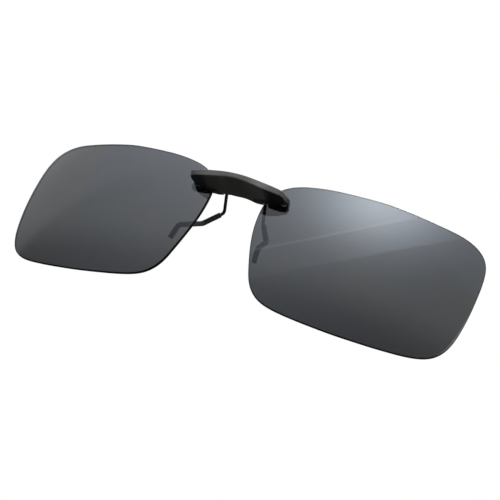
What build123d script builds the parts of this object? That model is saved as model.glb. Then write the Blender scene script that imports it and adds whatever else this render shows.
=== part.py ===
from build123d import *
import os
from math import cos, sin, pi, radians, sqrt, tan

# Clip-on flip-up sun lenses, modelled as worn: +Z up, the lenses face -Y, the
# wearer is at +Y, and +X is the wearer's left. Millimetres.
# The origin is on the rubber pad's rear face, on the centre plane near mid-height;
# that face rests on the front of the spectacle bridge.
# Most positions are written from the lens datum: mid-height of the lenses, on the
# plane through the two lens vertices. DY and DZ carry them to the part origin.
DY, DZ = 2.7, -11.4
SIDES = (1, -1)         # the wearer's left and right, as the sign of X

# ---- lenses and their fixings ---------------------------------------------
LENS_R = 105.0          # front surface radius
LENS_T = 0.75
FACE_FORM = 16.7        # wrap of each lens about the vertical, degrees
LENS_X = 38.0           # lens vertex to the centre plane
# polar radii of the lens outline about its vertex, every 10 degrees,
# starting at the temple side and turning towards the brow
OUTLINE = [
    30.08, 30.66, 31.89, 32.58, 30.09, 26.01, 23.06, 21.27, 20.28, 19.90, 19.93, 20.52,
    21.81, 23.96, 26.97, 30.25, 31.55, 30.84, 29.85, 29.05, 28.73, 28.70, 27.47, 24.88,
    22.57, 21.00, 20.10, 19.75, 19.88, 20.54, 21.83, 23.85, 26.73, 29.49, 30.29, 30.06,
]
RUN_STEPS = 6           # outline steps in each smooth run
SEAT_GAP = 0.03         # gap between lens faces and the parts that hold them

FIX_X = (9.9, 12.4)     # two screws per lens
FIX_Z = 10.55
SCREW_R, SCREW_CLEAR_R = 0.50, 0.52
SCREW_HEAD_R, SCREW_HEAD_T = 0.95, 0.45
BUSH_R, LENS_HOLE_R = 0.85, 0.87
PLATE_T = 0.85
PLATE_X, PLATE_Z = 11.1, 10.2   # where the plate's plane touches the lens front
# plate outline seen from the front: x, height from the lens datum
PLATE_OUTLINE = [(8.45, 8.70), (12.0, 8.40), (13.7, 8.70), (14.3, 9.70),
                 (14.0, 10.9), (13.4, 11.75), (8.45, 11.75)]

# ---- hinge: stations along X on the left side, mirrored on the right ------
PIVOT_Y, PIVOT_Z = -1.2, 13.6   # hinge pin axis, from the lens datum
PIN_R = 0.70
RUN_GAP = 0.05          # radial running clearance on the pin
WASHER_GAP = 0.03       # radial clearance of the washers
PRESS_GAP = 0.01        # radial clearance of the hinge block and cap
EAR_X0, EAR_X1 = 2.40, 3.60     # hinge block ears
BARREL_X0, BARREL_X1 = 3.75, 6.20   # lever barrels
KNUCKLE_X0, KNUCKLE_X1 = 6.45, 7.80  # bridge knuckles
FOOT_X0, WEB_X1 = 5.05, 7.38    # the web below the knuckles stays inboard of the lens edge
EAR_R, BARREL_R, KNUCKLE_R = 1.50, 1.40, 1.50
CAP_X0, CAP_X1, CAP_R = 8.15, 8.60, 1.20
THRUST_WASHER_R = 1.25

# ---- bridge bar -----------------------------------------------------------
# each section is (x, ridge y, ridge z, top y, top z, rear-top z, rear-bottom z)
BAR_SECTIONS = [
    (0.0, -11.20, 10.35, -11.02, 12.10, 10.45, 8.50),
    (3.0, -11.17, 10.12, -11.08, 11.95, 10.45, 8.46),
    (6.0, -11.05, 9.62, -10.95, 11.60, 10.80, 8.50),
    (8.8, -10.40, 9.42, -10.50, 11.38, 11.40, 8.78),
    (11.4, -9.15, 9.60, -9.62, 11.32, 11.75, 9.35),
    (14.8, -6.90, 10.15, -7.90, 11.20, 11.90, 9.95),
]
REAR_Y_MID, REAR_Y_END = -5.0, -2.0     # rear face, before the seats are cut
BLEND_X0, BLEND_X1 = 3.0, 8.8           # where the rear face eases between them
RIDGE_R = 0.50          # the rounded front ridge
BAR_EDGE_R = 0.22
# side profiles below each knuckle: y, z from the lens datum
WEB_PROFILE = [(-6.5, 9.0), (-4.6, 8.62), (-3.5, 8.62), (-1.62, 9.75), (-1.62, 10.6),
               (-0.9, 12.3), (-2.6, 14.2), (-4.2, 12.0), (-6.5, 11.0)]
FOOT_PROFILE = [(-6.2, 9.0), (-4.6, 8.62), (-3.5, 8.62), (-1.62, 9.75),
                (-1.62, 10.4), (-4.2, 10.5), (-6.2, 10.7)]

# ---- torsion spring -------------------------------------------------------
SPRING_R, SPRING_WIRE_R, SPRING_PITCH, SPRING_TURNS = 1.00, 0.17, 0.50, 7.0

# ---- thumb lever ----------------------------------------------------------
LEVER_Y, LEVER_Z = 0.755, 0.656         # lever direction, up and back
NORMAL_Y, NORMAL_Z = -LEVER_Z, LEVER_Y  # its upper-front normal
LEVER_LEN, LEVER_T = 5.6, 0.8
ARM_LEN = 3.2           # the two arms, from the pin axis
CROSS_START = 2.2       # where the crosspiece starts, from the pin axis

# ---- wire legs ------------------------------------------------------------
WIRE_R = 0.45
SLEEVE_R, SLEEVE_BORE_R = 0.72, 0.48
SLEEVE_OVER = 1.5       # the sleeve runs on past the end of the wire
# The two legs are bent to slightly different shapes, both over towards -X.
# Three bends and the end of the sleeve, from the lens datum.
LEG_LEFT = ((5.70, 4.15, 7.55), (9.15, 3.60, 1.95),
            (10.45, -2.20, -3.35), (11.00, -2.05, -7.30))
LEG_RIGHT = ((-5.70, 4.15, 7.55), (-9.90, 3.60, 2.80),
             (-13.15, -2.20, -2.00), (-13.95, -2.00, -6.10))
LEG_X = LEG_LEFT[0][0]  # where the legs leave the lever
BEND_R = (1.4, 1.5, 1.6)
LEG_DIR = Vector(0, LEG_LEFT[0][1] - PIVOT_Y, LEG_LEFT[0][2] - PIVOT_Z).normalized()


# ---- helpers --------------------------------------------------------------
def at(x, y, z):
    """A point given from the lens datum."""
    return Vector(x, y + DY, z + DZ)


def span(side, x0, x1):
    """Two left-side X stations carried to a side, in rising order."""
    return sorted((side * x0, side * x1))


def save(name, *shapes):
    solids = []
    for shape in shapes:
        solids += list(shape.solids())
    body = solids[0] if len(solids) == 1 else Compound(children=solids)
    export_step(body, os.path.join("parts", name + ".step"))


def save_pair(name, *shapes):
    """Left-side shapes, and their mirror images on the right."""
    save(name + "_left", *shapes)
    save(name + "_right", *[shape.mirror(Plane.YZ) for shape in shapes])


def xcyl(r, x0, x1):
    """Cylinder on the hinge axis between two X stations."""
    plane = Plane(origin=at(x0, PIVOT_Y, PIVOT_Z), x_dir=(0, 1, 0), z_dir=(1, 0, 0))
    return extrude(plane * Circle(r), x1 - x0)


def block(x0, x1, y0, y1, z0, z1):
    mid = at((x0 + x1) / 2, (y0 + y1) / 2, (z0 + z1) / 2)
    return Pos(mid.X, mid.Y, mid.Z) * Box(x1 - x0, y1 - y0, z1 - z0)


def yz_prism(points, x0, x1):
    """Polygon in the YZ plane (from the lens datum) extruded from x0 to x1."""
    face = make_face(Polyline(*[at(x0, y, z) for y, z in points], close=True))
    return extrude(face, x1 - x0, dir=(1, 0, 0))


# ---- left lens surface ----------------------------------------------------
WRAP_SIN, WRAP_COS = sin(radians(FACE_FORM)), cos(radians(FACE_FORM))
LENS_FRONT = (WRAP_SIN, -WRAP_COS, 0)   # the way the lens faces
# centre of the front sphere
LENS_CENTRE = at(LENS_X - LENS_R * WRAP_SIN, LENS_R * WRAP_COS, 0)


def ball(r, side=1):
    """Ball about the centre of a lens's front sphere."""
    return Pos(side * LENS_CENTRE.X, LENS_CENTRE.Y, LENS_CENTRE.Z) * Sphere(r)


def seat(x, z):
    """Plane on the lens front face at x, z: its normal points back through the lens."""
    y = LENS_CENTRE.Y - sqrt(LENS_R ** 2 - (x - LENS_CENTRE.X) ** 2
                             - (z + DZ - LENS_CENTRE.Z) ** 2)
    point = Vector(x, y, z + DZ)
    return Plane(origin=point, x_dir=(1, 0, 0), z_dir=(LENS_CENTRE - point).normalized())


def through(x, r, depth0, depth1):
    """Cylinder along the lens normal at a fixing, between two depths."""
    return seat(x, FIX_Z) * Pos(0, 0, depth0) * extrude(Circle(r), depth1 - depth0)


# ---- lens, bushes, rear plate and screws, left side -----------------------
def make_lens():
    count = len(OUTLINE)
    points = []
    for k, r in enumerate(OUTLINE):
        angle = 2 * pi * k / count
        points.append((r * cos(angle), r * sin(angle)))
    slopes = []
    for k in range(count):
        after, before = points[(k + 1) % count], points[k - 1]
        slopes.append(Vector(after[0] - before[0], after[1] - before[1]).normalized())
    arcs = []           # smooth runs, tangent where they meet
    for k in range(0, count, RUN_STEPS):
        run_points = [points[(k + j) % count] for j in range(RUN_STEPS + 1)]
        ends = (slopes[k], slopes[(k + RUN_STEPS) % count])
        arcs.append(Spline(*run_points, tangents=ends).edge())
    outline = make_face(Wire(arcs))
    plane = Plane(origin=at(LENS_X, 0, 0), x_dir=(WRAP_COS, WRAP_SIN, 0), z_dir=LENS_FRONT)
    prism = extrude(plane * Pos(0, 0, -14) * outline, 16, dir=LENS_FRONT)
    lens = prism & (ball(LENS_R) - ball(LENS_R - LENS_T))
    for x in FIX_X:
        lens -= through(x, LENS_HOLE_R, -1, LENS_T + 1)
    return lens


def make_bush(x):
    return through(x, BUSH_R, 0.05, LENS_T - 0.02) - through(x, SCREW_CLEAR_R, -1, 2)


def make_rear_plate():
    overlap = 0.1       # extra thickness, cut back to the lens's rear surface
    plane = seat(PLATE_X, PLATE_Z)
    corners = [(x - PLATE_X, -(z - PLATE_Z)) for x, z in PLATE_OUTLINE]
    face = make_face(Polyline(*corners, close=True))
    plate = plane * Pos(0, 0, LENS_T - overlap) * extrude(face, PLATE_T + overlap)
    corner_edges = plate.edges().filter_by(lambda e: abs((e % 0.5).dot(plane.z_dir)) > 0.99)
    plate = fillet(corner_edges, 0.5)
    plate &= ball(LENS_R - LENS_T - SEAT_GAP)
    for x in FIX_X:
        plate -= through(x, SCREW_CLEAR_R, -1, 4)
    back = plate.faces().sort_by(Axis.Y)[-1]
    return chamfer(back.outer_wire().edges(), 0.15)


def make_screw(x):
    """Screw entered from behind, with a slotted head on the rear plate."""
    plane = seat(x, FIX_Z)
    top = LENS_T + PLATE_T + 0.10
    shank = through(x, SCREW_R, -1.4, top)
    head = plane * Pos(0, 0, top) * extrude(Circle(SCREW_HEAD_R), SCREW_HEAD_T)
    head = fillet(head.edges().sort_by(Axis.Y)[-1], 0.2)
    slot = plane * Pos(0, 0, top + 0.3) * Box(2.2, 0.26, 0.4)
    return shank + (head - slot)


# ---- bridge bar -----------------------------------------------------------
def bar_section(row, side):
    x, ridge_y, ridge_z, top_y, top_z, rear_top_z, rear_low_z = row
    x *= side
    t = min(1.0, max(0.0, (abs(x) - BLEND_X0) / (BLEND_X1 - BLEND_X0)))
    rear_y = REAR_Y_MID + (REAR_Y_END - REAR_Y_MID) * t * t * (3 - 2 * t)
    return make_face(Polyline(at(x, ridge_y, ridge_z), at(x, top_y, top_z),
                              at(x, rear_y, rear_top_z), at(x, rear_y, rear_low_z),
                              close=True))


def cut_beyond(shape, point, normal, size=60):
    """Cuts away everything on the normal's side of a plane."""
    plane = Plane(origin=point, z_dir=normal)
    return shape - plane * Pos(0, 0, size / 2) * Box(size, size, size)


def is_ridge(edge):
    box = edge.bounding_box()
    return box.size.X > 15 and box.max.Z < 10.9 + DZ and box.min.Y < -10 + DY


def is_top(edge):
    box = edge.bounding_box()
    return box.size.X > 15 and box.max.Z > 11.3 + DZ


def is_front_end(edge):
    box = edge.bounding_box()
    return box.size.X < 4 and box.min.Y < -6 + DY


def make_knuckle():
    """Left hinge knuckle with the web and foot that carry it."""
    web = yz_prism(WEB_PROFILE, KNUCKLE_X0, WEB_X1)
    foot = yz_prism(FOOT_PROFILE, FOOT_X0, WEB_X1)
    foot = fillet(foot.faces().sort_by(Axis.X)[0].edges(), 0.30)
    knuckle = web + foot + xcyl(KNUCKLE_R, KNUCKLE_X0, KNUCKLE_X1)
    return knuckle - xcyl(PIN_R + RUN_GAP, KNUCKLE_X0 - 1, KNUCKLE_X1 + 1)


def make_bridge_bar():
    sections = [bar_section(row, -1) for row in BAR_SECTIONS[:0:-1]]
    sections += [bar_section(row, 1) for row in BAR_SECTIONS]
    bar = loft(sections, ruled=False)
    # slanted outer ends, with the low outer corner taken off
    for side in SIDES:
        bar = cut_beyond(bar, at(side * 13.30, -8.9, 11.0), (side * 1.0, -0.10, -0.02))
        bar = cut_beyond(bar, at(side * 12.35, -3.5, 9.35), (side * 0.62, 0.10, -0.78))
    bar = fillet(bar.edges().filter_by(is_ridge), RIDGE_R)
    edges = [e for e in bar.edges() if is_top(e)]
    edges += [e for e in bar.edges() if is_front_end(e)]
    bar = fillet(edges, BAR_EDGE_R)
    # seats that follow the lens fronts
    for side in SIDES:
        x0, x1 = span(side, WEB_X1 - 0.02, 20)
        bar -= ball(LENS_R + SEAT_GAP, side) & block(x0, x1, -9, 4, 5, 16)
    bar -= block(-WEB_X1, WEB_X1, -3.9, 2, 5, 16)

    knuckle = make_knuckle()
    bar = bar + knuckle + knuckle.mirror(Plane.YZ)
    for x in FIX_X:
        hole = through(x, SCREW_CLEAR_R, -1.6, 2)
        bar -= hole
        bar -= hole.mirror(Plane.YZ)
    return bar


# ---- hinge block, pad, pin and washers ------------------------------------
def make_hinge_block():
    stop = block(-4.6, 4.6, -4.1, -3.4, 10.4, 14.3)
    hinge_block = fillet(stop.edges().filter_by(Axis.Y), 0.8)
    for side in SIDES:
        x0, x1 = span(side, EAR_X0, EAR_X1)
        ear = block(x0, x1, -3.6, PIVOT_Y, PIVOT_Z - EAR_R, PIVOT_Z + 1.2)
        hinge_block += ear + xcyl(EAR_R, x0, x1)
    hinge_block -= block(-4.3, 4.3, -3.6, -3.0, 10.75, 11.85)       # pad recess
    return hinge_block - xcyl(PIN_R + PRESS_GAP, -10, 10)


def make_bridge_pad():
    pad = block(-4.7, 4.7, -3.38, -DY, 10.65, 12.0)
    pad = fillet(pad.edges().filter_by(Axis.Y), 0.5)
    pad = chamfer(pad.faces().sort_by(Axis.Y)[-1].outer_wire().edges(), 0.15)
    return pad + block(-4.27, 4.27, -3.58, -3.2, 10.78, 11.82)      # tongue in the recess


def make_hinge_pin():
    """Pin with its head at the right end."""
    pin = xcyl(PIN_R, -CAP_X0 - 0.05, CAP_X1 - 0.05)
    head = xcyl(CAP_R, -CAP_X1, -CAP_X0)
    head = fillet(head.edges().sort_by(Axis.X)[0], 0.25)
    pin = pin + head
    return chamfer(pin.edges().sort_by(Axis.X)[-1], 0.12)


def make_pin_cap():
    cap = xcyl(CAP_R, CAP_X0, CAP_X1)
    cap = fillet(cap.edges().sort_by(Axis.X)[-1], 0.2)
    return cap - xcyl(PIN_R + PRESS_GAP, 8, 9)


def make_washers(r, inner_x, outer_x, end_gap):
    """A flat ring on each side, clear of the parts at inner_x and outer_x."""
    washers = []
    for side in SIDES:
        x0, x1 = span(side, inner_x + end_gap, outer_x - end_gap)
        washers.append(xcyl(r, x0, x1) - xcyl(PIN_R + WASHER_GAP, x0 - 1, x1 + 1))
    return washers


# ---- torsion spring -------------------------------------------------------
def rod(start, end, r):
    run = end - start
    return extrude(Plane(origin=start, z_dir=run.normalized()) * Circle(r), run.length)


def make_spring():
    length = SPRING_PITCH * SPRING_TURNS
    helix = Helix(pitch=SPRING_PITCH, height=length, radius=SPRING_R)
    start = Plane(origin=helix @ 0, z_dir=helix % 0)
    coil = sweep(start * Circle(SPRING_WIRE_R), path=helix, is_frenet=True)
    # helix axis Z becomes the pin axis X; its start angle (local +X) becomes -Z
    x0, x1 = -length / 2, length / 2
    coil = Plane(origin=at(x0, PIVOT_Y, PIVOT_Z), x_dir=(0, 0, -1), z_dir=(1, 0, 0)) * coil
    # straight ends from the coil's underside: one forward to the block, one back
    low_z = PIVOT_Z - SPRING_R
    block_leg = rod(at(x0, PIVOT_Y, low_z) + Vector(-0.02, 0.1, 0),
                    at(x0 - 0.02, -3.1, low_z - 0.05), SPRING_WIRE_R)
    lever_leg = rod(at(x1, PIVOT_Y, low_z) + Vector(0.02, -0.1, 0),
                    at(x1 + 0.02, 1.15, low_z + 0.05), SPRING_WIRE_R)
    return coil + block_leg + lever_leg


# ---- thumb lever and its pad ----------------------------------------------
def lever_prism(points, x0, x1):
    """Prism along X; points are (along the lever, above its mid-plane) from the pin axis."""
    return yz_prism([(PIVOT_Y + LEVER_Y * t + NORMAL_Y * n,
                      PIVOT_Z + LEVER_Z * t + NORMAL_Z * n) for t, n in points], x0, x1)


def lever_slab(t0, t1, x0, x1):
    """Flat piece of the lever's thickness."""
    n = LEVER_T / 2
    return lever_prism([(t0, n), (t1, n), (t1, -n), (t0, -n)], x0, x1)


def lever_side(side):
    """Barrel, arm and the boss that holds a wire leg."""
    x0, x1 = span(side, BARREL_X0, BARREL_X1)
    body = xcyl(BARREL_R, x0, x1) + lever_slab(0, ARM_LEN, x0, x1)
    plane = Plane(origin=at(side * (LEG_X - 0.42), PIVOT_Y, PIVOT_Z),
                  x_dir=(1, 0, 0), z_dir=LEG_DIR)
    return body + plane * Pos(0, 0, 0.2) * extrude(RectangleRounded(1.84, 1.7, 0.5), 2.6)


def make_thumb_lever():
    lever = lever_side(1) + lever_side(-1)
    cross = lever_slab(CROSS_START, LEVER_LEN, -BARREL_X1, BARREL_X1)
    # the crosspiece narrows to a thumb tab: x, distance along the lever
    normal = (0, NORMAL_Y, NORMAL_Z)
    plane = Plane(origin=at(0, PIVOT_Y, PIVOT_Z), x_dir=(1, 0, 0), z_dir=normal)
    tab = make_face(Polyline(
        (-BARREL_X1, CROSS_START), (BARREL_X1, CROSS_START), (BARREL_X1, ARM_LEN), (4.2, 4.2),
        (4.0, LEVER_LEN), (-4.0, LEVER_LEN), (-4.2, 4.2), (-BARREL_X1, ARM_LEN), close=True))
    cross &= extrude(plane * Pos(0, 0, -1) * tab, 2, dir=normal)
    lever += cross
    lever -= xcyl(PIN_R + RUN_GAP, -10, 10)
    for side in SIDES:  # sockets for the wire legs
        plane = Plane(origin=at(side * LEG_X, PIVOT_Y, PIVOT_Z), z_dir=LEG_DIR)
        lever -= plane * Pos(0, 0, 1.15) * extrude(Circle(WIRE_R + 0.02), 4)
    return lever


def make_thumb_pad():
    """Ribbed rubber pad on the thumb tab's rear face."""
    pad = lever_prism([(3.3, -0.43), (5.45, -0.43), (5.45, -0.78), (3.3, -0.78)], -3.6, 3.6)
    for k in range(4):
        t = 3.5 + 0.5 * k
        pad += lever_prism([(t, -0.7), (t + 0.25, -0.7), (t + 0.2, -1.0), (t + 0.05, -1.0)],
                           -3.4, 3.4)
    return pad


# ---- wire legs and sleeves ------------------------------------------------
def bent(points, radii):
    """A wire through the points with each inner corner rounded to its radius."""
    edges, start = [], points[0]
    for i, r in enumerate(radii):
        corner = points[i + 1]
        back = (points[i] - corner).normalized()
        ahead = (points[i + 2] - corner).normalized()
        half = radians(back.get_angle(ahead) / 2)
        setback = r / tan(half)
        arc_start, arc_end = corner + back * setback, corner + ahead * setback
        arc_mid = corner + (back + ahead).normalized() * (r / sin(half) - r)
        edges.append(Line(start, arc_start).edge())
        edges.append(ThreePointArc(arc_start, arc_mid, arc_end).edge())
        start = arc_end
    edges.append(Line(start, points[-1]).edge())
    return Wire(edges)


def round_bar(points, radii, r):
    path = bent(points, radii)
    return sweep(Plane(origin=path @ 0, z_dir=path % 0) * Circle(r), path=path)


def leg_and_sleeve(side, points):
    """One wire leg and the tube pushed on to it."""
    root = at(side * LEG_X, PIVOT_Y, PIVOT_Z) + LEG_DIR * 1.2
    bend1, bend2, bend3, end = (at(*p) for p in points)
    down = (bend2 - bend1).normalized()
    tail = (end - bend3).normalized()
    wire = round_bar([root, bend1, bend2, bend3, end - tail * SLEEVE_OVER], BEND_R, WIRE_R)
    mouth = bend1 + down * 1.1
    tube = round_bar([mouth, bend2, bend3, end], BEND_R[1:], SLEEVE_R)
    tube -= round_bar([mouth - down * 0.1, bend2, bend3, end + tail * 0.5],
                      BEND_R[1:], SLEEVE_BORE_R)
    return wire, tube


# ---- write ----------------------------------------------------------------
os.makedirs("parts", exist_ok=True)
save_pair("lens", make_lens())
save_pair("lens_bushes", *[make_bush(x) for x in FIX_X])
save_pair("lens_screws", *[make_screw(x) for x in FIX_X])
save_pair("rear_plate", make_rear_plate())
save("bridge_bar", make_bridge_bar())
save("hinge_block", make_hinge_block())
save("bridge_pad", make_bridge_pad())
save("hinge_pin", make_hinge_pin())
save("pin_cap", make_pin_cap())
save("thrust_washers", *make_washers(THRUST_WASHER_R, BARREL_X1, KNUCKLE_X0, 0.03))
save("wave_washers", *make_washers(CAP_R, KNUCKLE_X1, CAP_X0, 0.04))
save("torsion_spring", make_spring())
save("thumb_lever", make_thumb_lever())
save("thumb_pad", make_thumb_pad())
for name, side, points in (("left", 1, LEG_LEFT), ("right", -1, LEG_RIGHT)):
    leg, sleeve = leg_and_sleeve(side, points)
    save("wire_leg_" + name, leg)
    save("leg_sleeve_" + name, sleeve)
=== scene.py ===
"""Clip-on sun lenses: two tinted lenses on a black bridge bar, with two sleeved wire legs behind.

Row frame: the origin is the pad's rear face, +Z is up, the lenses face -Y and the wearer's left is +X.
The lenses, wires and sleeves are built here. The other CAD pieces keep their shape and get a finish.
"""
import math

import bmesh
import bpy
import numpy as np
from mathutils import Matrix, Vector


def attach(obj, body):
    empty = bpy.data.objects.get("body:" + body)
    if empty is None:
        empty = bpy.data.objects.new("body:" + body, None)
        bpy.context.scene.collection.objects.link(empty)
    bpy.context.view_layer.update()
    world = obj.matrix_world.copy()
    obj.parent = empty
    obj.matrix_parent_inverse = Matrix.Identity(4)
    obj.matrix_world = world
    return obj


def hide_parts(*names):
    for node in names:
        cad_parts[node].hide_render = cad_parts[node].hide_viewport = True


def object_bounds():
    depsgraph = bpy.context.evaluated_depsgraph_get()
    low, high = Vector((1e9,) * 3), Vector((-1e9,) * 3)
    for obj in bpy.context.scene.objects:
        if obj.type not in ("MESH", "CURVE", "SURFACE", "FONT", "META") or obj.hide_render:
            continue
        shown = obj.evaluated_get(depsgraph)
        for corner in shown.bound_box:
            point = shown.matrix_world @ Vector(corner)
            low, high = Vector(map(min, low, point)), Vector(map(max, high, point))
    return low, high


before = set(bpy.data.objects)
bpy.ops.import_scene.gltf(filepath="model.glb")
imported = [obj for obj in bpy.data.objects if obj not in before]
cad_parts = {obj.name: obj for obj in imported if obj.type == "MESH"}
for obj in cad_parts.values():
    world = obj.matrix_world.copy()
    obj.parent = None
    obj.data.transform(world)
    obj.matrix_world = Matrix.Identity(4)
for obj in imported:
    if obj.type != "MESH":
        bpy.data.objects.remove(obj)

CAD_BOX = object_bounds()
MM = 0.001

# Piece sizes are millimetres from the lens datum. DATUM is that datum's place in the row frame.
DATUM = np.array([0.0, 2.7, -11.4])

# Lenses
LENS_X = 38.0                      # lens centre from the middle of the bar
LENS_RADIUS = 105.0                # sphere of the front face
LENS_THICKNESS = 0.75
FACE_FORM = math.radians(16.7)     # how far the outer side of each lens is turned back
LENS_EDGE_RADIUS = 0.16
LENS_SEGMENTS = 288
# Rings of each lens face, as fractions of the way from the centre to the rounded edge
FACE_RINGS = [0.06, 0.14, 0.24, 0.34, 0.44, 0.54, 0.64, 0.73, 0.81, 0.88, 0.94, 0.975, 1.0]
EDGE_ANGLES = [22.5, 45, 67.5, 90]
# Radius of the outline every 10 degrees from the outer side, turning upwards first
OUTLINE = [
    30.08, 30.66, 31.89, 32.58, 30.09, 26.01, 23.06, 21.27, 20.28,
    19.90, 19.93, 20.52, 21.81, 23.96, 26.97, 30.25, 31.55, 30.84,
    29.85, 29.05, 28.73, 28.70, 27.47, 24.88, 22.57, 21.00, 20.10,
    19.75, 19.88, 20.54, 21.83, 23.85, 26.73, 29.49, 30.29, 30.06,
]

# Wire legs and their sleeves
PIVOT_Y, PIVOT_Z = -1.2, 13.6      # each wire sets out from this line, along X
# Corners of each leg from the top down, before rounding: upper, middle and lower bend, open tip
LEGS = {
    "left": [(5.70, 4.15, 7.55), (9.15, 3.60, 1.95), (10.45, -2.20, -3.35), (11.00, -2.05, -7.30)],
    "right": [(-5.70, 4.15, 7.55), (-9.90, 3.60, 2.80), (-13.15, -2.20, -2.00), (-13.95, -2.00, -6.10)],
}
BEND_RADII = (1.4, 1.5, 1.6)
ARC_STEP = 0.12
STRAIGHT_STEP = 0.35
TUBE_SEGMENTS = 28
WIRE_RADIUS = 0.45
WIRE_START = 1.2                   # from the pivot line to the wire's upper end
WIRE_ROOT = ((0.0, 0.30), (0.02, 0.40))    # chamfer at the upper end: distance along, radius
WIRE_TIP_ROUND = 0.25
SLEEVE_RADIUS = 0.72
SLEEVE_BORE_RADIUS = 0.48
SLEEVE_START = 1.1                 # from the upper bend's corner to the sleeve
SLEEVE_OVER = 1.5                  # how far the sleeve runs past the wire

SIDES = {"left": 1, "right": -1}   # sign of X

scene = bpy.context.scene
scene.view_settings.view_transform = "Standard"
scene.view_settings.look = "None"


# ------------------------------------------------------------------ shader graphs
def rgb(*channels):
    return (*channels, 1.0)


class Graph:
    """A node tree emptied down to its output, with short calls for the nodes used here.

    Wherever a value is taken, a socket may be given instead and is linked.
    """

    def __init__(self, owner, output_kind):
        owner.use_nodes = True
        self.owner = owner
        self.tree = owner.node_tree
        self.tree.nodes.clear()
        self.out = self.node(output_kind)

    def put(self, socket, value):
        if hasattr(value, "is_output"):
            self.tree.links.new(value, socket)
        else:
            socket.default_value = value

    def node(self, kind, inputs=None, **props):
        made = self.tree.nodes.new("ShaderNode" + kind)
        for key, value in props.items():
            setattr(made, key, value)
        for key, value in (inputs or {}).items():
            self.put(made.inputs[key], value)
        return made

    def math(self, operation, a, b=0.0, clamp=False):
        return self.node("Math", {0: a, 1: b}, operation=operation, use_clamp=clamp).outputs[0]

    def times(self, a, b, clamp=False):
        return self.math("MULTIPLY", a, b, clamp)

    def add(self, a, b):
        return self.math("ADD", a, b)

    def dot(self, a, b):
        return self.node("VectorMath", {0: a, 1: b}, operation="DOT_PRODUCT").outputs["Value"]

    def ramp(self, value, over, to=(0.0, 1.0)):
        """Smooth change between the two values of `to` as value crosses `over`."""
        inputs = {"Value": value, "From Min": over[0], "From Max": over[1],
                  "To Min": to[0], "To Max": to[1]}
        return self.node("MapRange", inputs, interpolation_type="SMOOTHSTEP").outputs["Result"]

    def mix_shader(self, factor, first, second):
        return self.node("MixShader", {0: factor, 1: first, 2: second}).outputs[0]

    def shader(self, kind, **inputs):
        """Any other shader. Underscores in input names stand for spaces."""
        named = {key.replace("_", " "): value for key, value in inputs.items()}
        return self.node(kind, named).outputs[0]

    def finish(self, shader):
        self.put(self.out.inputs["Surface"], shader)
        return self.owner


class Material(Graph):
    def __init__(self, name):
        super().__init__(bpy.data.materials.new(name), "OutputMaterial")
        self.coord = self.node("TexCoord").outputs["Object"]

    def stretched(self, stretch):
        return self.node("Mapping", {"Vector": self.coord, "Scale": stretch}).outputs[0]

    def noise(self, scale, detail=3, roughness=0.5, stretch=(1, 1, 1), distortion=0.0):
        inputs = {"Vector": self.stretched(stretch), "Scale": scale, "Detail": detail,
                  "Roughness": roughness, "Distortion": distortion}
        return self.node("TexNoise", inputs).outputs["Fac"]

    def cells(self, scale):
        inputs = {"Vector": self.stretched((1, 1, 1)), "Scale": scale}
        return self.node("TexVoronoi", inputs, feature="F1").outputs["Distance"]

    def mix(self, factor, low, high):
        """Colour `low` where factor is 0 and `high` where it is 1."""
        # Inputs 6 and 7 and output 2 are the mix node's colour sockets.
        return self.node("Mix", {"Factor": factor, 6: low, 7: high}, data_type="RGBA").outputs[2]

    def split(self, vector):
        return self.node("SeparateXYZ", {0: vector}).outputs

    def geometry(self, output):
        return self.node("NewGeometry").outputs[output]

    def bump(self, height, strength, distance=0.00002, normal=None):
        inputs = {"Strength": strength, "Distance": distance, "Height": height}
        if normal is not None:
            inputs["Normal"] = normal
        return self.node("Bump", inputs).outputs["Normal"]


# ------------------------------------------------------------------ materials
# Places and distances inside a material are metres in the row frame.
def lens_material():
    """Neutral grey sun lens: light passes straight through, tinted, and the faces mirror the room
    by Fresnel with the cool residual colour of a hard coat."""
    mat = Material("tinted_lens_grey")
    cloud = mat.noise(scale=45)
    place = mat.split(mat.coord)["X"]
    # A touch warmer at the outer end of the -X lens, a painted reflection of something warm off that
    # side, and in soft clouds; darker towards the foot.
    cloudy = mat.times(mat.ramp(cloud, over=(0.45, 0.7)), 0.6)
    warm_reflection_and_clouds = mat.math("MAXIMUM", mat.ramp(place, over=(-0.044, -0.047)), cloudy)
    foot_darkening = mat.ramp(mat.split(mat.coord)["Z"], over=(-0.0144, -0.0304))
    clear = mat.mix(warm_reflection_and_clouds, low=rgb(0.259, 0.265, 0.271), high=rgb(0.266, 0.267, 0.266))
    tint = mat.mix(foot_darkening, low=clear, high=rgb(0.182, 0.186, 0.193))
    passing = mat.shader("BsdfTransparent", Color=tint)
    # Almost a mirror finish, with hairline wipes and a faint smear.
    wipes = mat.noise(scale=900, detail=5, roughness=0.65, stretch=(1.0, 1.0, 0.06),
                      distortion=0.4)
    smear = mat.noise(scale=70, detail=4, roughness=0.6)
    roughness = mat.add(mat.ramp(smear, over=(0.4, 0.75), to=(0.02, 0.06)),
                        mat.ramp(wipes, over=(0.62, 0.8), to=(0.0, 0.04)))
    # Painted reflection: the mirrored light is also warmer at the outer end of the -X lens.
    coat = mat.mix(warm_reflection_and_clouds, low=rgb(0.89, 0.99, 1.15), high=rgb(0.94, 1.0, 1.07))
    mirror = mat.shader("BsdfGlossy", Color=coat, Roughness=roughness)
    fresnel = mat.node("Fresnel", {"IOR": 1.52}).outputs[0]
    outside = mat.math("SUBTRACT", 1.0, mat.geometry("Backfacing"))
    reflected = mat.times(fresnel, outside, clamp=True)
    haze = mat.shader("BsdfDiffuse", Color=rgb(0.05, 0.052, 0.055))
    body = mat.mix_shader(factor=0.02, first=passing, second=haze)
    return mat.finish(mat.mix_shader(reflected, first=body, second=mirror))


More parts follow.
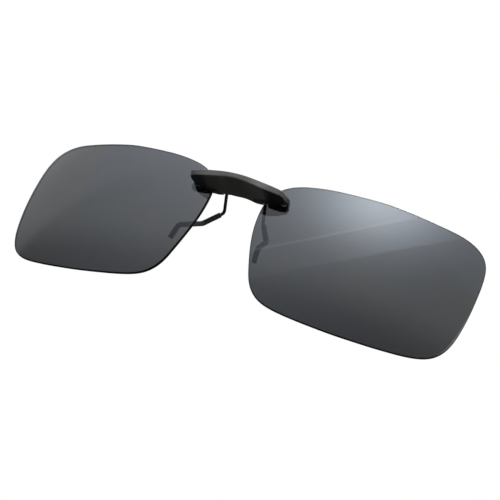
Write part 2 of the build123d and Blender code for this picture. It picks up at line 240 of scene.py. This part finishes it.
def lens_rim_material():
    """The ground and polished edge: near black, because light runs along the tint."""
    mat = Material("tinted_lens_rim")
    grind = mat.noise(scale=2600, roughness=0.6, stretch=(1, 1, 0.15))
    colour = mat.mix(mat.ramp(grind, over=(0.3, 0.7)),
                     low=rgb(0.0012, 0.0010, 0.0007), high=rgb(0.0040, 0.0036, 0.0030))
    rim = mat.shader("BsdfPrincipled", Base_Color=colour, IOR=1.12,
                     Roughness=mat.ramp(grind, over=(0.3, 0.7), to=(0.35, 0.55)),
                     Normal=mat.bump(grind, strength=0.10))
    inside = mat.shader("BsdfDiffuse", Color=rgb(0.010, 0.010, 0.010))
    return mat.finish(mat.mix_shader(mat.geometry("Backfacing"), first=rim, second=inside))


def bar_material():
    """Satin black enamel, faintly brown in the middle, with painted shade that makes the lugs blacker
    underneath, a painted highlight paling the front strip towards its ends, and rubbed edges.
    """
    mat = Material("black_bar_enamel")
    from_middle = mat.math("ABSOLUTE", mat.split(mat.coord)["X"])
    facing = mat.split(mat.node("TexCoord").outputs["Normal"])
    under = mat.ramp(facing["Z"], over=(-0.15, -0.55))
    cloud = mat.noise(scale=300)
    colour = mat.mix(mat.ramp(cloud, over=(0.3, 0.7)),
                     low=rgb(0.0125, 0.0120, 0.0100), high=rgb(0.0170, 0.0161, 0.0134))
    # Painted shade: the ends, where the bar grips the lenses, are darker underneath, and so are the
    # feet behind.
    ends = mat.ramp(from_middle, over=(0.0078, 0.0096))
    feet = mat.times(mat.ramp(from_middle, over=(0.0046, 0.0054)),
                     mat.ramp(mat.split(mat.coord)["Y"], over=(-0.0034, -0.0026)))
    lug_and_feet_shade = mat.math("MAXIMUM", mat.times(ends, under), feet)
    colour = mat.mix(lug_and_feet_shade, low=colour, high=rgb(0.0030, 0.0030, 0.0028))
    # The front-facing strip is painted paler towards its ends: a painted highlight.
    strip = mat.times(mat.ramp(facing["Y"], over=(-0.45, -0.70)),
                      mat.ramp(facing["Z"], over=(-0.45, -0.25)))
    strip_end_highlight = mat.times(mat.ramp(from_middle, over=(0.0020, 0.0095)), strip)
    colour = mat.mix(mat.times(strip_end_highlight, 0.85), low=colour, high=rgb(0.050, 0.050, 0.051))
    # Sharp edges are where the bevelled normal leaves the true one. They wear in patches.
    bevel = mat.node("Bevel", {"Radius": 0.00018}, samples=6).outputs[0]
    edge = mat.ramp(mat.dot(bevel, mat.geometry("Normal")), over=(0.985, 0.90))
    patches = mat.ramp(mat.noise(scale=900, roughness=0.7), over=(0.50, 0.66))
    wear = mat.times(edge, patches, clamp=True)
    colour = mat.mix(mat.times(wear, 0.30), low=colour, high=rgb(0.06, 0.058, 0.055))
    orange_peel = mat.noise(scale=3800)
    return mat.finish(mat.shader(
        "BsdfPrincipled", Base_Color=colour, IOR=1.54,
        Roughness=mat.ramp(cloud, over=(0.3, 0.7), to=(0.42, 0.50)),
        Normal=mat.bump(orange_peel, strength=0.05, normal=bevel)))


def wire_material():
    """Gloss black coating on spring wire, with draw lines along it."""
    mat = Material("black_wire_coat")
    draw = mat.noise(scale=3000, roughness=0.55, stretch=(1, 0.4, 0.12))
    colour = mat.mix(mat.ramp(draw, over=(0.35, 0.7)),
                     low=rgb(0.003, 0.003, 0.0035), high=rgb(0.010, 0.0095, 0.009))
    return mat.finish(mat.shader(
        "BsdfPrincipled", Base_Color=colour, IOR=1.38,
        Roughness=mat.ramp(draw, over=(0.3, 0.75), to=(0.20, 0.36)),
        Normal=mat.bump(draw, strength=0.08)))


def sleeve_material():
    """Soft black tube, dusty, with a painted brown sheen at the thin outline."""
    mat = Material("sleeve_tube")
    dust = mat.noise(scale=2400, detail=5, roughness=0.7)
    fine = mat.noise(scale=9000, roughness=0.6)
    colour = mat.mix(mat.ramp(dust, over=(0.5, 0.75)),
                     low=rgb(0.0065, 0.0062, 0.006), high=rgb(0.017, 0.0155, 0.014))
    # Painted sheen: browner where the surface turns away at the outline.
    outline_sheen = mat.node("LayerWeight", {"Blend": 0.3}).outputs["Facing"]
    colour = mat.mix(mat.ramp(outline_sheen, over=(0.55, 1.0)),
                     low=colour, high=rgb(0.034, 0.024, 0.017))
    normal = mat.bump(fine, strength=0.18)
    normal = mat.bump(dust, strength=0.12, distance=0.00005, normal=normal)
    return mat.finish(mat.shader(
        "BsdfPrincipled", Base_Color=colour, IOR=1.35,
        Roughness=mat.ramp(dust, over=(0.3, 0.75), to=(0.45, 0.66)),
        Sheen_Weight=0.03, Sheen_Roughness=0.4, Normal=normal))


def rubber_material():
    """Dusty black rubber with a fine cellular grain."""
    mat = Material("pad_rubber")
    grain = mat.cells(scale=4200)
    dust = mat.noise(scale=1200, detail=5, roughness=0.65)
    colour = mat.mix(mat.ramp(dust, over=(0.5, 0.8)),
                     low=rgb(0.016, 0.016, 0.016), high=rgb(0.050, 0.048, 0.046))
    normal = mat.bump(grain, strength=0.35, distance=0.00005)
    normal = mat.bump(dust, strength=0.2, distance=0.00006, normal=normal)
    return mat.finish(mat.shader(
        "BsdfPrincipled", Base_Color=colour, IOR=1.45,
        Roughness=mat.ramp(dust, over=(0.3, 0.8), to=(0.68, 0.88)),
        Sheen_Weight=0.2, Normal=normal))


def steel_material():
    """Turned steel with tool marks around X and a few brownish stains."""
    mat = Material("turned_steel")
    turning = mat.noise(scale=5200, detail=4, roughness=0.6, stretch=(1, 0.08, 0.08))
    stain = mat.noise(scale=700, detail=4, roughness=0.6)
    colour = mat.mix(mat.ramp(turning, over=(0.3, 0.7)),
                     low=rgb(0.50, 0.50, 0.50), high=rgb(0.66, 0.655, 0.645))
    colour = mat.mix(mat.ramp(stain, over=(0.55, 0.8)), low=colour, high=rgb(0.36, 0.33, 0.29))
    return mat.finish(mat.shader(
        "BsdfPrincipled", Base_Color=colour, Metallic=1.0, Anisotropic=0.4,
        Roughness=mat.ramp(turning, over=(0.25, 0.75), to=(0.20, 0.42)),
        Normal=mat.bump(turning, strength=0.2)))


def nylon_material():
    """Undyed nylon: cloudy cream, slightly translucent."""
    mat = Material("natural_nylon")
    cloud = mat.noise(scale=1500, detail=4)
    colour = mat.mix(mat.ramp(cloud, over=(0.3, 0.7)),
                     low=rgb(0.66, 0.63, 0.56), high=rgb(0.78, 0.76, 0.70))
    return mat.finish(mat.shader(
        "BsdfPrincipled", Base_Color=colour, IOR=1.53,
        Roughness=mat.ramp(cloud, over=(0.3, 0.7), to=(0.38, 0.55)),
        Subsurface_Weight=0.3, Subsurface_Scale=0.0004,
        Normal=mat.bump(mat.noise(scale=6000), strength=0.12)))


def floor_material():
    """Pale floor that fades into the white room. It is clear from underneath, so that a low
    camera looks up through it."""
    mat = Material("studio_floor")
    colour = mat.mix(mat.noise(scale=9), low=rgb(0.43, 0.43, 0.425), high=rgb(0.46, 0.46, 0.455))
    pale = mat.shader("BsdfDiffuse", Color=colour)
    clear = mat.shader("BsdfTransparent")
    below = mat.geometry("Backfacing")
    distance = mat.node("VectorMath", {0: mat.coord}, operation="LENGTH").outputs["Value"]
    far = mat.ramp(distance, over=(0.12, 0.75))
    return mat.finish(mat.mix_shader(mat.math("MAXIMUM", below, far), first=pale, second=clear))


LENS = lens_material()
RIM = lens_rim_material()
BAR = bar_material()
WIRE = wire_material()
SLEEVE = sleeve_material()
RUBBER = rubber_material()
STEEL = steel_material()
NYLON = nylon_material()


# ------------------------------------------------------------------ mesh helpers
def to_row(points):
    """Lens-datum millimetres to row-frame metres."""
    return (np.asarray(points, float) + DATUM) * MM


def unit(vectors):
    return vectors / np.linalg.norm(vectors, axis=-1, keepdims=True)


def new_piece(name, verts, faces, materials, face_materials=None, smooth=True):
    mesh = bpy.data.meshes.new(name)
    mesh.from_pydata([tuple(v) for v in verts], [], faces)
    mesh.update()
    for material in materials:
        mesh.materials.append(material)
    if face_materials is not None:
        mesh.polygons.foreach_set("material_index", face_materials)
    mesh.polygons.foreach_set("use_smooth", [smooth] * len(mesh.polygons))
    bm = bmesh.new()
    bm.from_mesh(mesh)
    bmesh.ops.recalc_face_normals(bm, faces=bm.faces)
    bm.to_mesh(mesh)
    bm.free()
    piece = bpy.data.objects.new(name, mesh)
    scene.collection.objects.link(piece)
    return piece


def register(piece, node, carrier):
    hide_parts(node)
    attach(piece, carrier)


def periodic_spline(values, turns):
    """Closed cubic spline through equally spaced values, read at turns in 0..1."""
    count = len(values)
    y = np.asarray(values, float)
    one = np.eye(count)
    system = 4 * one + np.roll(one, 1, axis=0) + np.roll(one, -1, axis=0)
    curvature = np.linalg.solve(system, 6 * (np.roll(y, 1) - 2 * y + np.roll(y, -1)))
    x = (turns % 1.0) * count
    i = np.floor(x).astype(int) % count
    j = (i + 1) % count
    f = x - np.floor(x)
    g = 1 - f
    return y[i] * g + y[j] * f + ((g ** 3 - g) * curvature[i] + (f ** 3 - f) * curvature[j]) / 6


# ------------------------------------------------------------------ lenses
def front_depth(plan):
    """How far the front face lies behind its own centre at points of the outline's plane."""
    return LENS_RADIUS - np.sqrt(LENS_RADIUS ** 2 - (plan ** 2).sum(-1))


def rear_depth(plan):
    return LENS_RADIUS - np.sqrt((LENS_RADIUS - LENS_THICKNESS) ** 2 - (plan ** 2).sum(-1))


def lens_rings():
    """Rings of (outwards, up, depth) from the front centre, over the edge, to the rear centre."""
    turns = np.arange(LENS_SEGMENTS) / LENS_SEGMENTS
    radius = periodic_spline(OUTLINE, turns)
    outline_sheen = np.c_[radius * np.cos(2 * np.pi * turns), radius * np.sin(2 * np.pi * turns)]
    tangent = np.roll(outline_sheen, -1, 0) - np.roll(outline_sheen, 1, 0)
    normal = unit(np.c_[tangent[:, 1], -tangent[:, 0]])
    inner = outline_sheen - normal * LENS_EDGE_RADIUS

    def face_ring(fraction, depth_at):
        plan = inner * fraction
        return np.c_[plan, depth_at(plan)]

    def edge_ring(degrees, depth_at, direction):
        angle = math.radians(degrees)
        plan = inner + normal * LENS_EDGE_RADIUS * math.sin(angle)
        sink = LENS_EDGE_RADIUS * (1 - math.cos(angle))
        return np.c_[plan, depth_at(plan) + direction * sink]

    rings = [face_ring(f, front_depth) for f in FACE_RINGS]
    rings += [edge_ring(a, front_depth, 1) for a in EDGE_ANGLES]
    rings += [edge_ring(a, rear_depth, -1) for a in reversed(EDGE_ANGLES)]
    rings += [face_ring(f, rear_depth) for f in reversed(FACE_RINGS)]
    return rings


def lens_piece(name, side):
    """Spherical shell cut to the outline, with a small rounded edge."""
    seg = LENS_SEGMENTS
    rings = lens_rings()
    outwards, up, depth = np.concatenate([[[0, 0, 0.0]], *rings, [[0, 0, LENS_THICKNESS]]]).T
    sin, cos = math.sin(FACE_FORM), math.cos(FACE_FORM)
    verts = to_row(np.c_[LENS_X + outwards * cos - depth * sin, outwards * sin + depth * cos, up])
    verts[:, 0] *= side

    # The rim material runs from the last front ring to the last edge ring.
    rim = range(len(FACE_RINGS) - 1, len(FACE_RINGS) + 2 * len(EDGE_ANGLES) - 1)
    last_ring = 1 + (len(rings) - 1) * seg
    faces, face_materials = [], []
    for k in range(seg):
        j = (k + 1) % seg
        faces.append((0, 1 + k, 1 + j))
        face_materials.append(0)
        for i in range(len(rings) - 1):
            a, b = 1 + i * seg, 1 + (i + 1) * seg
            faces.append((a + k, b + k, b + j, a + j))
            face_materials.append(int(i in rim))
        faces.append((last_ring + k, len(verts) - 1, last_ring + j))
        face_materials.append(0)
    return new_piece(name, verts, faces, [LENS, RIM], face_materials)


for tag, side in SIDES.items():
    register(lens_piece("lens_glass_" + tag, side), "lens_" + tag, "lens_carrier")


# ------------------------------------------------------------------ wire legs
def bend(before, corner, after, radius):
    """Points of the arc that rounds a corner, both ends included."""
    u, v = unit(before - corner), unit(after - corner)
    half = math.acos(float(np.clip(u @ v, -1, 1))) / 2
    setback = radius / math.tan(half)
    start, stop = corner + u * setback, corner + v * setback
    centre = corner + unit(u + v) * (radius / math.sin(half))
    e0, e1 = (start - centre) / radius, (stop - centre) / radius
    sweep = math.acos(float(np.clip(e0 @ e1, -1, 1)))
    steps = max(8, int(radius * (math.pi - 2 * half) / ARC_STEP))
    arc = [start]
    for k in range(1, steps + 1):
        q = k / steps
        mixed = math.sin((1 - q) * sweep) * e0 + math.sin(q * sweep) * e1
        arc.append(centre + radius * mixed / math.sin(sweep))
    return arc


def bent_path(corners, radii):
    """Straight runs joined by arcs: points, tangents, normals and binormals."""
    route = [corners[0]]
    for i, radius in enumerate(radii):
        route += bend(corners[i], corners[i + 1], corners[i + 2], radius)
    route.append(corners[-1])
    # Split the straights into short, even steps.
    points = [route[0]]
    for target in route[1:]:
        start = points[-1]
        steps = max(1, int(math.ceil(np.linalg.norm(target - start) / STRAIGHT_STEP)))
        points += [start + (target - start) * k / steps for k in range(1, steps + 1)]
    points = np.array(points)
    tangents = unit(np.gradient(points, axis=0))
    # Carry one normal along the path, so that the tube doesn't twist.
    normal = np.array([1.0, 0.2, 0.1])
    normals = []
    for tangent in tangents:
        normal = unit(normal - tangent * (normal @ tangent))
        normals.append(normal)
    return points, tangents, np.array(normals), np.cross(tangents, normals)


def swept(name, path, stations, material, closed=False):
    """Tube of rings along a path. A station is (path index, shift along the path, radius).
    A closed tube joins its last ring to its first; an open one is capped."""
    points, tangents, normals, binormals = path
    seg = TUBE_SEGMENTS
    angles = np.arange(seg) * 2 * np.pi / seg
    verts, faces = [], []
    for i, shift, radius in stations:
        centre = points[i] + tangents[i] * shift
        verts += [centre + radius * (math.cos(a) * normals[i] + math.sin(a) * binormals[i])
                  for a in angles]
    count = len(stations)
    for i in range(count if closed else count - 1):
        a, b = i * seg, (i + 1) % count * seg
        for k in range(seg):
            j = (k + 1) % seg
            faces.append((a + k, b + k, b + j, a + j))
    if not closed:
        faces.append(tuple(range(seg))[::-1])
        faces.append(tuple((count - 1) * seg + k for k in range(seg)))
    return new_piece(name, to_row(verts), faces, [material])


def wire_piece(name, corners):
    """Bare wire with a chamfered upper end and a rounded tip."""
    upper, middle, lower, tip = corners
    hub = np.array([upper[0], PIVOT_Y, PIVOT_Z])
    start = hub + unit(upper - hub) * WIRE_START
    stop = tip - unit(tip - lower) * SLEEVE_OVER
    path = bent_path([start, upper, middle, lower, stop], BEND_RADII)
    last = len(path[0]) - 1
    stations = [(0, shift, radius) for shift, radius in WIRE_ROOT]
    stations += [(i, 0.0, WIRE_RADIUS) for i in range(1, last)]
    for degrees in (0, 30, 60, 80):
        angle = math.radians(degrees)
        stations.append((last, -WIRE_TIP_ROUND * (1 - math.sin(angle)),
                         WIRE_RADIUS - WIRE_TIP_ROUND + WIRE_TIP_ROUND * math.cos(angle)))
    return swept(name, path, stations, WIRE)


def sleeve_piece(name, corners, side):
    """Pushed-on tube, a touch uneven in thickness, with soft lips."""
    upper, middle, lower, tip = corners
    start = upper + unit(middle - upper) * SLEEVE_START
    path = bent_path([start, middle, lower, tip], BEND_RADII[1:])
    count = len(path[0])
    lip = (SLEEVE_RADIUS - SLEEVE_BORE_RADIUS) / 2
    mid = (SLEEVE_RADIUS + SLEEVE_BORE_RADIUS) / 2
    lips = [(lip * (1 - math.cos(q)), mid + lip * math.sin(q))
            for q in map(math.radians, (-60, -30, 0, 30, 60))]
    long_swell, short_swell = 0.012, 0.008     # heights of the two waves along the tube
    stations = [(0, shift, radius) for shift, radius in lips]
    for i in range(1, count - 1):
        s = i / count
        swell = long_swell * math.sin(9 * s + side) + short_swell * math.sin(31 * s)
        stations.append((i, 0.0, SLEEVE_RADIUS + swell - long_swell))
    stations += [(count - 1, -shift, radius) for shift, radius in reversed(lips)]
    stations += [(i, 0.0, SLEEVE_BORE_RADIUS) for i in range(count - 2, 0, -1)]
    return swept(name, path, stations, SLEEVE, closed=True)


for tag, side in SIDES.items():
    leg = np.array(LEGS[tag])
    register(wire_piece("wire_leg_piece_" + tag, leg), "wire_leg_" + tag, "leg_lever")
    register(sleeve_piece("leg_sleeve_piece_" + tag, leg, side),
             "leg_sleeve_" + tag, "leg_lever")


# ------------------------------------------------------------------ finishes of the CAD pieces
FINISH = {
    "bridge_bar": BAR, "rear_plate_left": BAR, "rear_plate_right": BAR, "hinge_block": BAR,
    "thumb_lever": BAR, "bridge_pad": RUBBER, "thumb_pad": RUBBER,
    "hinge_pin": STEEL, "pin_cap": STEEL, "lens_screws_left": STEEL, "lens_screws_right": STEEL,
    "wave_washers": STEEL, "torsion_spring": STEEL,
    "lens_bushes_left": NYLON, "lens_bushes_right": NYLON, "thrust_washers": NYLON,
}
for node, material in FINISH.items():
    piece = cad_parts[node]
    if not piece.material_slots:
        piece.data.materials.append(material)
    for slot in piece.material_slots:
        slot.material = material


# ------------------------------------------------------------------ floor and lights, in metres
FLOOR_GAP = 0.0006
FLOOR_HALF = 3.0
# Name, place, side of the square panel, watts. Each panel faces the origin.
LIGHTS = (
    ("key_front_high", (0.15, -0.55, 0.70), 0.55, 1.6),
    ("fill_left", (-0.80, -0.35, 0.40), 0.60, 0.9),
    ("rim_back", (0.10, 0.75, 0.60), 0.55, 1.2),
)


def build_floor():
    z = CAD_BOX[0].z - FLOOR_GAP
    corners = [(x * FLOOR_HALF, y * FLOOR_HALF, z) for x, y in ((-1, -1), (1, -1), (1, 1), (-1, 1))]
    floor = new_piece("studio_floor", corners, [(0, 1, 2, 3)], [floor_material()], smooth=False)
    if floor.data.polygons[0].normal.z < 0:
        floor.data.flip_normals()
    floor.visible_glossy = False     # glossy faces mirror the room instead


def panel_light(name, location, size, watts):
    """Soft panel, hidden from glossy faces because the room already holds the panels they mirror."""
    data = bpy.data.lights.new(name, "AREA")
    data.shape = "RECTANGLE"
    data.size = data.size_y = size
    data.energy = watts
    light = bpy.data.objects.new(name, data)
    scene.collection.objects.link(light)
    light.location = location
    light.rotation_mode = "QUATERNION"
    light.rotation_quaternion = (-Vector(location)).to_track_quat("-Z", "Y")
    light.visible_glossy = False


build_floor()
for entry in LIGHTS:
    panel_light(*entry)


# ------------------------------------------------------------------ white room
class Room(Graph):
    def __init__(self, name):
        scene.world = bpy.data.worlds.new(name)
        super().__init__(scene.world, "OutputWorld")
        generated = self.node("TexCoord").outputs["Generated"]
        self.direction = self.node("VectorMath", {0: generated}, operation="NORMALIZE").outputs[0]

    def along(self, axis):
        return self.dot(self.direction, tuple(axis))

    def step(self, value, at, soft, to=(0.0, 1.0)):
        return self.ramp(value, over=(at - soft, at + soft), to=to)

    def panel(self, azimuth, elevation, strength, spread):
        """Soft glow around a direction. Azimuth runs from the front towards +X, in radians;
        spread is its width and height."""
        centre = Vector((math.sin(azimuth) * math.cos(elevation),
                         -math.cos(azimuth) * math.cos(elevation), math.sin(elevation)))
        level = Vector((math.cos(azimuth), math.sin(azimuth), 0))
        squares = [self.math("POWER", self.math("DIVIDE", self.math("ABSOLUTE", self.along(axis)),
                                                width), 2.0)
                   for axis, width in zip((level, level.cross(centre)), spread)]
        glow = self.math("EXPONENT", self.times(self.add(*squares), -0.5))
        near_half = self.step(self.along(centre), at=0.0, soft=0.05, to=(0.0, strength))
        return self.times(glow, near_half)


def build_room():
    """Plain white to the camera. To everything else, a soft dome with bright panels."""
    room = Room("white_room")
    up = room.along((0, 0, 1))
    rear = room.along((0, 1, 0))
    # The dome brightens upwards, and more so towards the rear.
    dome = room.add(room.times(up, 0.8242), -0.0596)
    dome = room.add(dome, room.times(room.times(up, up), 0.0734))
    dome = room.add(dome, room.times(room.times(rear, up), 0.6185))
    dome = room.math("MAXIMUM", dome, 0.04)
    dimming = room.step(rear, at=-0.12, soft=0.26, to=(1.0, 0.50))     # dimmer behind the object
    dome = room.times(dome, dimming)
    # Two slats cross the front panel. Their edges show as faint slanted lines in the lenses.
    first_slat, second_slat, slat_soft = 0.5438, 0.6675, 0.0025
    across = room.along((-0.486, -0.268, 0.832))
    front = room.panel(azimuth=0.1054, elevation=0.8173, strength=7.32, spread=(0.1834, 0.199))
    front = room.times(front, room.step(across, at=first_slat, soft=slat_soft, to=(0.71, 1.0)))
    front = room.times(front, room.step(across, at=second_slat, soft=slat_soft, to=(0.905, 1.0)))
    line = room.times(room.step(across, at=0.6660, soft=0.003),
                      room.step(across, at=0.6760, soft=0.004, to=(1.0, 0.0)))
    # The line and edge leave out the far -X side.
    lit_side = room.step(room.along((1, 0, 0)), at=-0.40, soft=0.08)
    line = room.times(line, lit_side)
    low_down = room.step(up, at=0.35, soft=0.35, to=(1.0, 0.6))
    edge = room.times(room.step(across, at=first_slat, soft=slat_soft, to=(0.0, 0.17)),
                      room.times(lit_side, low_down))
    wide = room.panel(azimuth=-0.476, elevation=1.1997, strength=2.358, spread=(0.3495, 0.5178))
    wide = room.times(wide, dimming)
    back = room.panel(azimuth=3.0, elevation=0.80, strength=4.0, spread=(0.45, 0.35))
    # A card low on the +X side that only the turned faces of the bar pick up.
    card = room.panel(azimuth=1.04, elevation=0.12, strength=6.5, spread=(0.34, 0.40))
    card = room.times(card, room.step(room.along((1, 0, 0)), at=0.77, soft=0.05))
    panels = room.add(room.add(dome, wide), front)
    accents = room.add(room.add(back, card), room.add(edge, room.times(line, 0.60)))
    white = rgb(1, 1, 1)
    lit = room.shader("Background", Color=white, Strength=room.add(panels, accents))
    plain = room.shader("Background", Color=white, Strength=1.0)
    seen = room.node("LightPath").outputs["Is Camera Ray"]
    room.finish(room.mix_shader(seen, first=lit, second=plain))


build_room()

# ------------------------------------------------------------------ camera
# In front, to the +X side and below, looking up at the lenses
CAMERA_PLACE = (312.85, -643.33, -313.13)      # from the lens datum, millimetres
CAMERA_AXES = (
    (0.8927655, 0.2399559, 0.3813016),         # the camera's right
    (-0.2200737, -0.5062291, 0.8338463),       # its up
    (0.3931123, -0.8283437, -0.3991359),       # its back
)
camera_data = bpy.data.cameras.new("camera")
camera_data.sensor_width = 36.0
camera_data.lens = 216.07272
camera_data.clip_start, camera_data.clip_end = 0.01, 10.0
camera = bpy.data.objects.new("camera", camera_data)
scene.collection.objects.link(camera)
pose = Matrix(CAMERA_AXES).transposed().to_4x4()
pose.translation = Vector(to_row(CAMERA_PLACE))
camera.matrix_world = pose
scene.camera = camera
